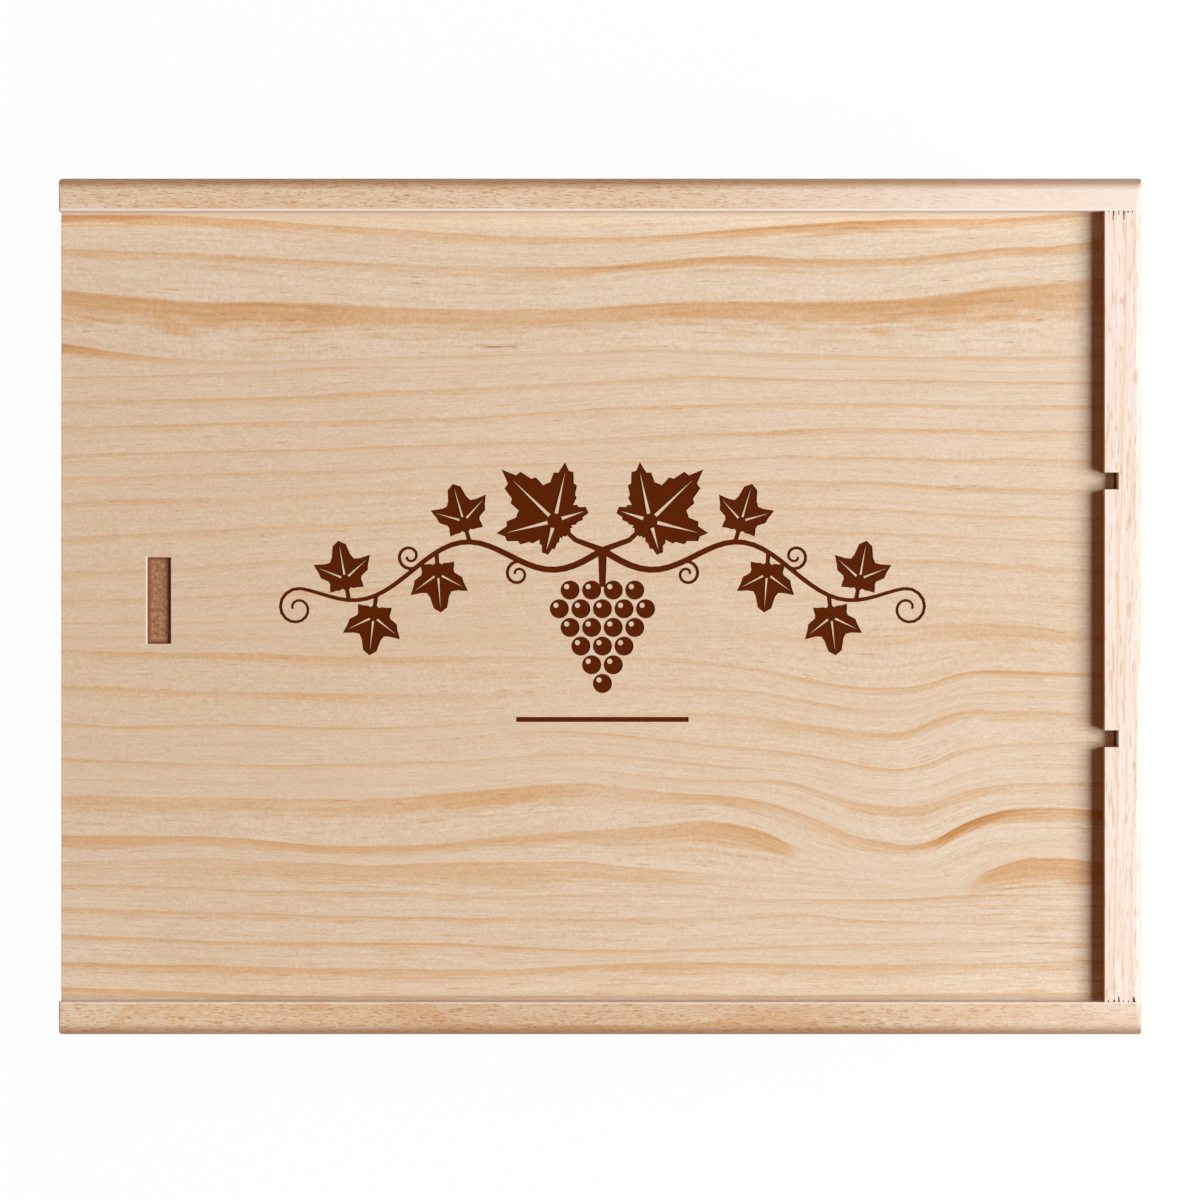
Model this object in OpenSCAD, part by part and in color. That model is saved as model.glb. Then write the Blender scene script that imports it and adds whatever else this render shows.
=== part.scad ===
// Three-bottle pine wine box with a sliding lid.
// Millimetres, +Z up. The origin is the centre of the footprint, on the surface the box stands on.
// The lid draws out towards -X, over the low front board. The rear board is at +X.
// Left is +Y and right is -Y, as seen by someone who faces the rear board from the front.

/* [Box] */
// Outer length, from the front end to the rear end
box_l = 350; // [320:1:400]
// Outer width, over both side boards
box_w = 277.3; // [250:0.1:310]
// Outer height
box_h = 100; // [92:1:125]

/* [Boards] */
// Thickness of the two long side boards
side_t = 10.8; // [9:0.1:14]
// Thickness of the rear end board
rear_t = 12; // [9:0.1:14]
// Thickness of the front end board
front_t = 12; // [9:0.1:14]
// Thickness of the bottom panel
bottom_t = 5; // [3:0.5:7]
// Thickness of the sliding lid
lid_t = 5; // [4:0.5:7]
// Thickness of the two dividers
divider_t = 5; // [3:0.5:7]

/* [Sanded edges] */
// Round-over along the top outer edge of each side board
side_round = 3.7; // [0.5:0.1:4.5]
// Round-over across the top outer edge at the rear end
rear_round = 2; // [0.5:0.1:4]
// Easing across the top outer edge at the front end
front_round = 0.8; // [0.3:0.1:2]
// Easing of the four upright outer corners
corner_round = 1.2; // [0.3:0.1:2]
// Easing along the bottom outer edges
foot_round = 0.8; // [0.3:0.1:2]

/* [Lid groove] */
// Height of the boards above the lid groove
lip_h = 5; // [4:0.5:8]
// Depth of the lid groove in the side boards and the rear board
lid_groove_d = 4.5; // [3:0.1:6]
// Free play above the lid, and again below it
lid_play = 0.2; // [0.1:0.05:0.5]
// Gap from the lid's edges to the bottoms of its grooves
lid_edge_gap = 0.6; // [0.3:0.1:1]

/* [Bottom groove] */
// Height of the boards below the bottom groove, which is the foot that the box stands on
foot_h = 3.6; // [3:0.1:8]
// Depth of the bottom groove in all four boards
bottom_groove_d = 4.5; // [3:0.1:6]
// Free play above the bottom panel in its groove
bottom_play = 0.3; // [0.1:0.05:0.5]
// Gap from the bottom panel's edges to the bottoms of its grooves
bottom_edge_gap = 0.5; // [0.3:0.1:1]

/* [Dividers] */
// Distance between the centres of the two dividers
divider_pitch = 83.3; // [75:0.1:90]
// How far both dividers sit off the box's centreline, towards +Y
divider_shift = -1.1; // [-4:0.1:4]
// Depth of the upright dadoes that hold the dividers' ends
dado_d = 4.5; // [3:0.1:6]
// Free play on each side of a divider in its dado
dado_play = 0.25; // [0.1:0.05:0.5]
// Gap from each end of a divider to the bottom of its dado
divider_end_gap = 0.5; // [0.3:0.1:1]
// Gap between the dividers and the closed lid
divider_top_gap = 1.2; // [0.5:0.1:3]

/* [Thumb slot] */
// Length of the thumb slot, across the lid
slot_l = 28; // [20:0.1:40]
// Width of the thumb slot, along the lid's travel
slot_w = 7.6; // [5:0.1:12]
// Depth of the thumb slot
slot_d = 1.5; // [1:0.1:3]
// Distance from the box's front end to the thumb slot
slot_setback = 27.9; // [20:0.1:45]
// How far the thumb slot sits off the box's centreline, towards +Y
slot_shift = 1.9; // [-5:0.1:5]

/* [Brads] */
// Diameter of a brad's shank
brad_d = 1.4; // [1:0.1:2]
// Length of a brad under its head
brad_l = 28; // [20:1:40]
// Diameter of a brad's head
brad_head_d = 2.4; // [2.2:0.1:3]
// Thickness of a brad's head
brad_head_h = 0.8; // [0.5:0.1:1.5]
// Length of a brad's point
brad_point_l = 2; // [1:0.5:4]
// Diameter left at the tip of a brad's point
brad_tip_d = 0.35; // [0.1:0.05:0.8]
// How far a brad's head is driven below the wood
brad_sink = 0.5; // [0.2:0.1:1]
// Clearance round a brad in its hole
brad_fit = 0.02; // [0.01:0.01:0.05]
// Brads at each corner
brad_rows = 3; // [2:1:5]
// Height of the lowest brad
brad_low = 19; // [14:1:25]
// Distance from the highest brad up to the lid groove
brad_drop = 15; // [8:1:25]

/* [Engraving] */
// Depth of the burnt ornament in the lid's face
burn_d = 0.3; // [0.1:0.05:0.6]
// Centre of the ornament from the box's centre, towards +X
burn_x = 0.7; // [-10:0.1:10]
// Centre of the ornament from the box's centre, towards +Y
burn_y = 5.3; // [-10:0.1:10]
// Radius of a grape
grape_r = 3.1; // [2:0.1:4]
// Gap between neighbouring grapes
grape_gap = 0.8; // [0.4:0.1:1.5]
// Reach of each half of the vine from the middle
vine_l = 98; // [80:1:110]
// Rise and fall of the vine about its middle line
vine_wave = 6; // [3:0.5:8]
// How far the vine's ends hang below its middle
vine_droop = 16; // [0:1:24]
// Width of the vine's stem at its thick end
vine_w = 2.2; // [1.4:0.1:3]
// Length of the two large leaves
big_leaf_l = 24; // [16:0.5:28]
// Length of the small leaves along the vine
small_leaf_l = 14; // [8:0.5:16]
// Length of the plain rule under the bunch
rule_l = 56; // [30:1:90]
// Width of the plain rule
rule_w = 1.6; // [1:0.1:3]

/* [Hidden] */
$fn = 48;
eps = 0.01;
cut_over = 1;

LEFT = 1;
RIGHT = -1;
FRONT = -1;
REAR = 1;

pine = [0.87, 0.74, 0.58];
pale_pine = [0.91, 0.80, 0.66];
panel_pine = [0.84, 0.70, 0.53];
steel = [0.62, 0.62, 0.60];

// heights
lid_groove_top = box_h - lip_h;
lid_groove_h = lid_t + 2 * lid_play;
lid_groove_z = lid_groove_top - lid_groove_h;
lid_z = lid_groove_z + lid_play;
bottom_z = foot_h;
bottom_top = bottom_z + bottom_t;
bottom_groove_h = bottom_t + bottom_play;
divider_h = lid_z - divider_top_gap - bottom_top;

// lengths along X
front_x = -box_l / 2;
rear_x = box_l / 2;
front_inner_x = front_x + front_t;
rear_inner_x = rear_x - rear_t;
lid_rear_x = rear_inner_x + lid_groove_d - lid_edge_gap;
divider_front_x = front_inner_x - dado_d + divider_end_gap;
divider_rear_x = rear_inner_x + dado_d - divider_end_gap;
bottom_reach = bottom_groove_d - bottom_edge_gap;
slot_x = front_x + slot_setback;

// widths along Y
inner_w = box_w - 2 * side_t;
lid_w = inner_w + 2 * (lid_groove_d - lid_edge_gap);
dado_w = divider_t + 2 * dado_play;
divider_y = [divider_shift + divider_pitch / 2, divider_shift - divider_pitch / 2];

// brads
brad_high = lid_groove_z - brad_drop;
brad_heights = [for (i = [0 : brad_rows - 1]) brad_low + i * (brad_high - brad_low) / (brad_rows - 1)];
brad_hole_spare = 0.3;

// ---------------------------------------------------------------- shared shapes

// A box from one corner to the opposite one
module block(low, high) {
    translate(low) cube(high - low);
}

// The waste outside a rounded corner at the origin, which opens towards +x and +y
module corner_waste(r) {
    difference() {
        translate([-cut_over, -cut_over]) square(r + cut_over);
        translate([r, r]) circle(r);
    }
}

// A rectangle with a radius for each corner, in the order low left, low right, high right, high left
module eased_rectangle(low, high, radii) {
    corners = [low, [high.x, low.y], high, [low.x, high.y]];
    turns = [0, 90, 180, 270];
    difference() {
        translate(low) square(high - low);
        for (i = [0 : 3])
            if (radii[i] > 0) translate(corners[i]) rotate(turns[i]) corner_waste(radii[i]);
    }
}

// The sanded outside of the whole box, seen from the side
module sanded_side_view() {
    eased_rectangle([front_x, 0], [rear_x, box_h], [foot_round, foot_round, rear_round, front_round]);
}

// The sanded outside of the whole box, seen from above
module sanded_plan() {
    eased_rectangle([front_x, -box_w / 2], [rear_x, box_w / 2],
                    [for (corner = [0 : 3]) corner_round]);
}

// Turns a shape drawn in x and z so that it runs along Y over the given width
module along_y(width) {
    rotate([90, 0, 0]) linear_extrude(height = width, center = true) children();
}

// Turns a shape drawn in y and z so that it runs along X over the given stretch
module along_x(from, to) {
    translate([from, 0, 0]) rotate([90, 0, 90]) linear_extrude(height = to - from) children();
}

// ---------------------------------------------------------------- brads

// One brad, its head's top at the origin and its point towards -Z
module brad() {
    shank_l = brad_l - brad_point_l;
    translate([0, 0, -brad_head_h]) cylinder(h = brad_head_h, d = brad_head_d);
    translate([0, 0, -brad_head_h - shank_l]) cylinder(h = shank_l + eps, d = brad_d);
    translate([0, 0, -brad_head_h - brad_l]) cylinder(h = brad_point_l + eps, d1 = brad_tip_d, d2 = brad_d);
}

// The hole that one brad makes in the wood
module brad_hole() {
    depth = brad_head_h + brad_l + brad_hole_spare;
    translate([0, 0, -brad_head_h - brad_fit])
        cylinder(h = brad_head_h + brad_sink + cut_over, d = brad_head_d + 2 * brad_fit);
    translate([0, 0, -depth]) cylinder(h = depth, d = brad_d + 2 * brad_fit);
}

// Puts its children at every brad of one corner
module at_brads(end, side) {
    x = end == REAR ? rear_x - rear_t / 2 : front_x + front_t / 2;
    for (z = brad_heights)
        translate([x, side * (box_w / 2 - brad_sink), z]) rotate([-side * 90, 0, 0]) children();
}

module brads(end, side) {
    color(steel) at_brads(end, side) brad();
}

// ---------------------------------------------------------------- boards

// A long side board, drawn on the left: one moulding with a lid groove and a bottom groove right through
module side_board_shape() {
    inner_y = box_w / 2 - side_t;
    difference() {
        intersection() {
            along_x(front_x, rear_x)
                eased_rectangle([inner_y, 0], [box_w / 2, box_h], [0, foot_round, side_round, 0]);
            along_y(box_w + cut_over) sanded_side_view();
            linear_extrude(height = box_h) sanded_plan();
        }
        block([front_x - cut_over, inner_y - cut_over, lid_groove_z],
              [rear_x + cut_over, inner_y + lid_groove_d, lid_groove_top]);
        block([front_x - cut_over, inner_y - cut_over, bottom_z],
              [rear_x + cut_over, inner_y + bottom_groove_d, bottom_z + bottom_groove_h]);
        for (end = [FRONT, REAR]) at_brads(end, LEFT) brad_hole();
    }
}

module side_board(side) {
    color(pine)
        if (side == LEFT) side_board_shape();
        else mirror([0, 1, 0]) side_board_shape();
}

// The upright dadoes for both dividers, cut from x = from to x = to through the whole height
module dadoes(from, to) {
    for (y = divider_y)
        block([from, y - dado_w / 2, -cut_over], [to, y + dado_w / 2, box_h + cut_over]);
}

// The brad holes that reach into an end board from both of its ends
module end_board_holes(end) {
    for (side = [LEFT, RIGHT]) at_brads(end, side) brad_hole();
}

module rear_board() {
    color(pale_pine) difference() {
        along_y(inner_w)
            eased_rectangle([rear_inner_x, 0], [rear_x, box_h], [0, foot_round, rear_round, 0]);
        block([rear_inner_x - cut_over, -box_w / 2, lid_groove_z],
              [rear_inner_x + lid_groove_d, box_w / 2, lid_groove_top]);
        block([rear_inner_x - cut_over, -box_w / 2, bottom_z],
              [rear_inner_x + bottom_groove_d, box_w / 2, bottom_z + bottom_groove_h]);
        dadoes(rear_inner_x - cut_over, rear_inner_x + dado_d);
        end_board_holes(REAR);
    }
}

module front_board() {
    color(pale_pine) difference() {
        along_y(inner_w)
            eased_rectangle([front_x, 0], [front_inner_x, lid_groove_z], [foot_round, 0, 0, front_round]);
        block([front_inner_x - bottom_groove_d, -box_w / 2, bottom_z],
              [front_inner_x + cut_over, box_w / 2, bottom_z + bottom_groove_h]);
        dadoes(front_inner_x - dado_d, front_inner_x + cut_over);
        end_board_holes(FRONT);
    }
}

// ---------------------------------------------------------------- panels

module bottom_panel() {
    color(panel_pine)
        block([front_inner_x - bottom_reach, -inner_w / 2 - bottom_reach, bottom_z],
              [rear_inner_x + bottom_reach, inner_w / 2 + bottom_reach, bottom_top]);
}

module divider(side) {
    y = side == LEFT ? divider_y[0] : divider_y[1];
    color(panel_pine)
        block([divider_front_x, y - divider_t / 2, bottom_top],
              [divider_rear_x, y + divider_t / 2, bottom_top + divider_h]);
}

// ---------------------------------------------------------------- the burnt ornament

// heights in the ornament, from its own centre
vine_rise = 13;
stalk_foot = 1;
rule_drop = 42;

// The unit vector at an angle
function unit(a) = [cos(a), sin(a)];

// The unit vector at right angles to the line from a to b, on its left
function left_of(a, b) = let (d = b - a) [-d.y, d.x] / norm(d);

// The outline that a pen draws along a line of points while its width goes from w0 to w1
function pen(points, w0, w1) =
    let (
        last = len(points) - 1,
        side = [for (i = [0 : last]) left_of(points[max(i - 1, 0)], points[min(i + 1, last)])],
        half = [for (i = [0 : last]) (w0 + (w1 - w0) * i / last) / 2]
    )
    concat([for (i = [0 : last]) points[i] + half[i] * side[i]],
           [for (i = [last : -1 : 0]) points[i] - half[i] * side[i]]);

// A spiral that leaves its start along a heading and winds in, to the left for side 1, to the right for -1
curl_steps = 20;
curl_turns = 1.3;
curl_tighten = 0.78;
function curl_line(start, heading, r, side) =
    [for (i = [0 : curl_steps])
        let (t = i / curl_steps)
        start + r * unit(heading + side * 90)
              + r * (1 - curl_tighten * t) * unit(heading - side * 90 + side * 360 * curl_turns * t)];

// A vine leaf of length 1, its stalk at the origin and its tip on +x. Each of its five lobes is a tent over
// the angle, the leaf's edge is the highest tent, and every second point is drawn in a little for teeth.
lobe_angles = [0, 58, -58, 118, -118];
lobe_reach = [1, 0.84, 0.84, 0.52, 0.52];
lobe_half_angle = 34;
lobe_cut = 0.52;
lobe_point = 0.9;
leaf_heart = 0.26;
leaf_tooth = 0.1;
leaf_back_angle = 168;
function angle_between(a, b) = abs((a - b + 540) % 360 - 180);
function tent(a, i) =
    let (off = angle_between(a, lobe_angles[i]) / lobe_half_angle)
    lobe_reach[i] * (1 - lobe_cut * pow(off, lobe_point));
function leaf_reach(a) = max(leaf_heart, max([for (i = [0 : 4]) tent(a, i)]));
function leaf_edge(count) =
    [for (i = [0 : count - 1])
        let (a = leaf_back_angle * (2 * i / (count - 1) - 1))
        leaf_reach(a) * (1 - leaf_tooth * (i % 2)) * unit(a)];

vein_start = 0.1;
vein_end = 0.8;
vein_w = 0.048;
module leaf(length, edge_points, veins) {
    scale(length) difference() {
        polygon(leaf_edge(edge_points));
        for (i = [0 : veins - 1])
            rotate(lobe_angles[i])
                polygon([[vein_start, -vein_w / 2], [vein_end * lobe_reach[i], 0],
                         [vein_start, vein_w / 2]]);
    }
}

// A grape: a burnt disc with a bare glint
glint_share = 0.27;
glint_place = [-0.36, 0.36];
module grape() {
    difference() {
        circle(grape_r);
        translate(grape_r * glint_place) circle(grape_r * glint_share);
    }
}

// A hanging bunch: rows of grapes that nest in each other, the top row's centres on y = 0
bunch_rows = [4, 5, 4, 3, 2, 1];
grape_pitch = 2 * grape_r + grape_gap;
row_drop = grape_pitch * sin(60);
module bunch() {
    for (row = [0 : len(bunch_rows) - 1], i = [0 : bunch_rows[row] - 1])
        translate([(i - (bunch_rows[row] - 1) / 2) * grape_pitch, -row * row_drop]) grape();
}

// The right half of the vine: a stem that waves and droops, with curls and leaves on alternate sides
vine_waves = 1.6;
vine_steps = 32;
vine_tip_w = 1.1;
tendril_w = 1.1;
tendril_r = 4.2;
tip_curl_r = 6.5;
curl_tip_w = 0.8;
stalk_l = 7;
stalk_w = 1.5;
small_leaf_points = 31;
small_leaf_veins = 3;
slope_step = 0.5;
function vine_y(x) = -vine_wave * sin(360 * vine_waves * x / vine_l) - vine_droop * pow(x / vine_l, 2);
function vine_heading(x) = atan((vine_y(x + slope_step) - vine_y(x - slope_step)) / (2 * slope_step));
vine_line = [for (i = [0 : vine_steps]) let (x = vine_l * i / vine_steps) [x, vine_y(x)]];

// What grows on each half: the share of its reach, the side it is on, and how far it leans out
tendrils = [[0.27, -1, 12], [0.62, 1, 14]];
small_leaves = [[0.44, 1, 72], [0.55, -1, 62], [0.75, -1, 60], [0.84, 1, 76]];

module curl(share, side, lean, r, w) {
    x = share * vine_l;
    polygon(pen(curl_line([x, vine_y(x)], vine_heading(x) + side * lean, r, side), w, curl_tip_w));
}

module small_leaf(share, side, lean) {
    x = share * vine_l;
    translate([x, vine_y(x)]) rotate(vine_heading(x) + side * lean) {
        polygon(pen([[0, 0], [stalk_l, 0]], stalk_w, vine_tip_w));
        translate([stalk_l, 0]) leaf(small_leaf_l, small_leaf_points, small_leaf_veins);
    }
}

module half_vine() {
    polygon(pen(vine_line, vine_w, vine_tip_w));
    curl(1, -1, 0, tip_curl_r, vine_tip_w);
    for (place = tendrils) curl(place[0], place[1], place[2], tendril_r, tendril_w);
    for (place = small_leaves) small_leaf(place[0], place[1], place[2]);
}

// The ornament about its own centre: a bunch of grapes, two large leaves, two vines and a plain rule
big_leaf_at = [15.5, 9.5];
big_leaf_turn = 44;
big_leaf_points = 61;
big_leaf_veins = 5;
big_stalk_bend = [8.75, 3.25];
big_stalk_w = [2, 1.3];
bunch_stalk_w = [3, 2];
module ornament() {
    bunch();
    polygon(pen([[0, vine_rise + vine_w / 2], [0, stalk_foot]], bunch_stalk_w[0], bunch_stalk_w[1]));
    for (flip = [0, 1]) mirror([flip, 0]) translate([0, vine_rise]) {
        half_vine();
        polygon(pen([[0, 0], big_stalk_bend, big_leaf_at], big_stalk_w[0], big_stalk_w[1]));
        translate(big_leaf_at) rotate(big_leaf_turn) leaf(big_leaf_l, big_leaf_points, big_leaf_veins);
    }
    translate([-rule_l / 2, -rule_drop - rule_w / 2]) square([rule_l, rule_w]);
}

// ---------------------------------------------------------------- lid

module sliding_lid() {
    top = lid_z + lid_t;
    color(pine) difference() {
        block([front_x, -lid_w / 2, lid_z], [lid_rear_x, lid_w / 2, top]);
        block([slot_x, slot_shift - slot_l / 2, top - slot_d],
              [slot_x + slot_w, slot_shift + slot_l / 2, top + cut_over]);
        translate([burn_x, burn_y, top - burn_d]) linear_extrude(height = burn_d + cut_over) ornament();
    }
}

side_board(LEFT);  // side_board_left
side_board(RIGHT);  // side_board_right
front_board();
rear_board();
bottom_panel();
divider(LEFT);  // divider_left
divider(RIGHT);  // divider_right
sliding_lid();
brads(FRONT, LEFT);  // brads_front_left
brads(FRONT, RIGHT);  // brads_front_right
brads(REAR, LEFT);  // brads_rear_left
brads(REAR, RIGHT);  // brads_rear_right
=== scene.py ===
"""Looks of a flat pine wine box with a sliding lid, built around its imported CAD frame.

The boards are the frame's own shapes with their edges eased as sandpaper leaves them. The lid's growth
lines are drawn one by one, because they are what the eye knows this box by.
"""
import math

import bmesh
import bpy
import numpy as np
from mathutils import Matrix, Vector


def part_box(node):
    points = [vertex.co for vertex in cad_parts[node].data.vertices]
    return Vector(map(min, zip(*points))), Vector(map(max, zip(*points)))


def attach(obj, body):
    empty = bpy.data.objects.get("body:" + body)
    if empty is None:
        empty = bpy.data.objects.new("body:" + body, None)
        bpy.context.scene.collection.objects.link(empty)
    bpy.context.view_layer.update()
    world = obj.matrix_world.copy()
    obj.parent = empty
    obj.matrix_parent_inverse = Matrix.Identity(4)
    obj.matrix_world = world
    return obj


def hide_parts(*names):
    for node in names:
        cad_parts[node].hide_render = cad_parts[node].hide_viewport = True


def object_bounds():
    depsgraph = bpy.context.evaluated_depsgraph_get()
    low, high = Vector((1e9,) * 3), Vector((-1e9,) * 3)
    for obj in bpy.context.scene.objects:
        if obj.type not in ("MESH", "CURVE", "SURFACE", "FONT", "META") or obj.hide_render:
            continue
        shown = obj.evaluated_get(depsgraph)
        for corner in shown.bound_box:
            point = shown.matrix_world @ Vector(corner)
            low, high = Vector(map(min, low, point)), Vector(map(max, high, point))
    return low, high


bl_info = {
    "name": "Pine wine box",
    "version": (1, 0, 0),
    "blender": (4, 5, 0),
    "location": "3D View > Sidebar > Wine box",
    "description": "Dresses a flat pine wine box with a sliding lid",
    "category": "Object",
}

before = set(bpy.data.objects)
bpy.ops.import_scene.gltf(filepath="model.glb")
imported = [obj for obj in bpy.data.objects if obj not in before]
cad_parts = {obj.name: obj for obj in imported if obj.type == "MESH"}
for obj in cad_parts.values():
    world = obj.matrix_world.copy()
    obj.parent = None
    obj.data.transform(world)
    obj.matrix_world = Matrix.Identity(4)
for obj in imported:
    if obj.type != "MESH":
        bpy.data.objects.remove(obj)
CAD_BOX = [list(corner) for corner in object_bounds()]
MM = 0.001

# Edges that are shorter, such as those round the brads' holes, or less sharp than this aren't eased.
SHORT_EDGE = 2.2 * MM
SHARP_ANGLE = math.radians(35)
# Faces that lean less than this from each other are shaded as one.
SMOOTH_ANGLE = math.radians(34)

# How much end grain darkens, and how deep the ground of a board's early wood is, both from 0 to 1.
END_GRAIN_SHARE = 0.45
BOARD_TONE = 0.4

# Where the photograph was taken from, in metres: straight above, a metre over the box's top.
CAMERA_PLACE = Vector((-0.00008, 0.00208, 1.1))
VIEW_WIDTH_AT_TOP = 0.3876
# How far the low strip lights stand from the middle of the box, and how wide they are, in metres.
STRIP_DISTANCE = 1.4
STRIP_WIDTH = 1.2
# Half the floor's width, in metres, its paper, and plain white.
FLOOR_HALF = 4.0
PAPER = (0.95, 0.95, 0.95, 1)
WHITE = (1, 1, 1, 1)

# The lid as the photograph shows it: its face's scale, and the pixel that lies over the frame's origin.
PIXEL_MM = 0.32458
ORIGIN_PIXEL = (600.25, 606.45)
# The pixels that the growth lines are drawn between.
LINES_X = (50.0, 1110.0)
LINES_Y = (190.0, 1020.0)
# Height of the lid's face, and how far its rings lean, in mm to the side for each mm down.
LID_FACE_MM = 94.8
RING_LEAN = 1.3
# A band of late wood across its ring: how dark its flat part is, before the power that its fade follows; how
# much darker it is at its line, and how fast that goes; and how fast it rises there.
FLAT_LEVEL = 0.8
FADE_POWER = 1.8
LIP_LEVEL = 0.33
LIP_SLOPE = 2.6
RISE_SLOPE = 18.0


# ---- small tools

def linear(code):
    """An sRGB hex colour as linear red, green, blue and alpha."""
    parts = [int(code[i:i + 2], 16) / 255 for i in (1, 3, 5)]
    return [p / 12.92 if p <= 0.04045 else ((p + 0.055) / 1.055) ** 2.4 for p in parts] + [1.0]


def add(tree, kind, sockets=(), operation=None, **settings):
    """Adds a node with its settings. sockets gives its inputs values, hex colours or nodes to link, as a list
    in the inputs' own order or a dict by name. A Map Range's inputs are value, from, from, to and to."""
    node = tree.nodes.new("ShaderNode" + kind)
    if operation:
        node.operation = operation
    for name, value in settings.items():
        setattr(node, name, value)
    for key, value in sockets.items() if isinstance(sockets, dict) else enumerate(sockets):
        socket = node.inputs[key] if isinstance(key, int) else next(
            s for s in node.inputs if s.name == key and s.enabled)
        if isinstance(value, bpy.types.Node):
            value = next(s for s in value.outputs if s.enabled)
        if isinstance(value, bpy.types.NodeSocket):
            tree.links.new(value, socket)
        else:
            socket.default_value = linear(value) if isinstance(value, str) else value
    return node


def draw_curve(node, points):
    """Puts given points on a Float Curve, and lets their levels pass 1."""
    node.mapping.use_clip = False
    curve = node.mapping.curves[0]
    while len(curve.points) < len(points):
        curve.points.new(0.5, 0.5)
    for point, place in zip(curve.points, points):
        point.location = place
        point.handle_type = "AUTO_CLAMPED"
    node.mapping.update()


def set_stops(node, stops):
    """Puts (place, grey level) stops on a Color Ramp."""
    ramp = node.color_ramp
    while len(ramp.elements) < len(stops):
        ramp.elements.new(0.5)
    for element, (place, level) in zip(ramp.elements, stops):
        element.position = place
        element.color = (level, level, level, 1)


def new_material(name):
    """An empty material with nodes."""
    material = bpy.data.materials.new(name)
    material.use_nodes = True
    material.node_tree.nodes.clear()
    return material


def new_object(name, data):
    """A new object in the scene."""
    item = bpy.data.objects.new(name, data)
    bpy.context.scene.collection.objects.link(item)
    return item


def merged_copy(node_name, name, join_flats=True):
    """A new object with a CAD node's mesh, its doubles merged and, where asked, its flat faces joined."""
    work = bmesh.new()
    work.from_mesh(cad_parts[node_name].data)
    bmesh.ops.remove_doubles(work, verts=work.verts, dist=0.002 * MM)
    if join_flats:
        bmesh.ops.dissolve_limit(work, angle_limit=math.radians(0.5), verts=work.verts, edges=work.edges)
    mesh = bpy.data.meshes.new(name)
    work.to_mesh(mesh)
    work.free()
    return new_object(name, mesh)


def ease_edges(piece, width, kept_sharp=None):
    """Rounds a board's sharp edges as a sanding block does. The shortest edges, and those in the box
    kept_sharp, stay as they are."""
    mesh = piece.data
    work = bmesh.new()
    work.from_mesh(mesh)
    weight = work.edges.layers.float.new("bevel_weight_edge")
    for edge in work.edges:
        if len(edge.link_faces) != 2 or edge.calc_length() < SHORT_EDGE:
            continue
        middle = (edge.verts[0].co + edge.verts[1].co) / 2
        if kept_sharp and all(kept_sharp[0][i] <= middle[i] <= kept_sharp[1][i] for i in range(3)):
            continue
        if edge.calc_face_angle(0) > SHARP_ANGLE:
            edge[weight] = 1
    work.to_mesh(mesh)
    work.free()
    bevel = piece.modifiers.new("eased edges", "BEVEL")
    bevel.width = width
    bevel.segments = 3
    bevel.limit_method = "WEIGHT"


def bake_modifiers(piece):
    """Turns a piece's modifiers into plain mesh."""
    bpy.context.view_layer.update()
    graph = bpy.context.evaluated_depsgraph_get()
    plain = bpy.data.meshes.new_from_object(piece.evaluated_get(graph))
    piece.modifiers.clear()
    piece.data = plain


def gather(items, name, width=1, kind=float):
    """One property of all of a mesh's corners or faces, as an array."""
    values = np.empty(len(items) * width, kind)
    items.foreach_get(name, values)
    return values


def shade_board(piece):
    """Shades rounded edges smoothly and keeps large faces flat. A face's normal at a corner is the sum of
    area times normal over the faces round it that lean less than SMOOTH_ANGLE from it, made one long."""
    mesh = piece.data
    mesh.shade_smooth()
    vertex = gather(mesh.loops, "vertex_index", kind=int)
    face = np.repeat(np.arange(len(mesh.polygons)), gather(mesh.polygons, "loop_total", kind=int))
    normal = gather(mesh.polygons, "normal", 3).reshape(-1, 3)[face]
    heavy = normal * gather(mesh.polygons, "area")[face][:, None]
    # Sorted by vertex, a corner's neighbours are the few before and after it.
    order = np.argsort(vertex, kind="stable")
    place = np.arange(len(order))
    most = np.bincount(vertex).max()
    total = np.zeros_like(normal)
    for step in range(1 - most, most):
        beside = np.clip(place + step, 0, len(order) - 1)
        other = order[beside]
        near = (normal[order] * normal[other]).sum(1) > math.cos(SMOOTH_ANGLE)
        same = (vertex[order] == vertex[other]) & (place + step == beside)
        total[order] += heavy[other] * (near & same)[:, None]
    length = np.linalg.norm(total, axis=1, keepdims=True)
    mesh.normals_split_custom_set((total / np.maximum(length, 1e-12)).tolist())


def closed_object(name, points, faces):
    """A new object from points and four-cornered faces, its doubles merged and all faces turned outwards."""
    mesh = bpy.data.meshes.new(name)
    mesh.from_pydata(points.reshape(-1, 3).tolist(), [], faces.reshape(-1, 4).tolist())
    work = bmesh.new()
    work.from_mesh(mesh)
    bmesh.ops.remove_doubles(work, verts=work.verts, dist=0.001 * MM)
    bmesh.ops.recalc_face_normals(work, faces=work.faces)
    work.to_mesh(mesh)
    work.free()
    return new_object(name, mesh)


def tubes(name, points):
    """An object from grids of points, one grid to a tube: rows along it, columns round it.
    Each face joins two neighbours of a row to the same two of the next row, and the last column meets the
    first. Rows that shrink to a point close the ends."""
    count, rows, columns, _ = points.shape
    index = np.arange(count * rows * columns).reshape(count, rows, columns)
    beside = np.roll(index, -1, axis=2)
    faces = np.stack([index[:, :-1], beside[:, :-1], beside[:, 1:], index[:, 1:]], axis=-1)
    piece = closed_object(name, points, faces)
    piece.data.shade_smooth()
    piece.data.set_sharp_from_angle(angle=math.radians(40))
    return piece


def hand_over(piece, body, material, node):
    """Gives a finished piece its material and its body, and hides the CAD node that it stands for."""
    piece.data.materials.clear()
    piece.data.materials.append(material)
    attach(piece, body)
    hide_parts(node)
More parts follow.
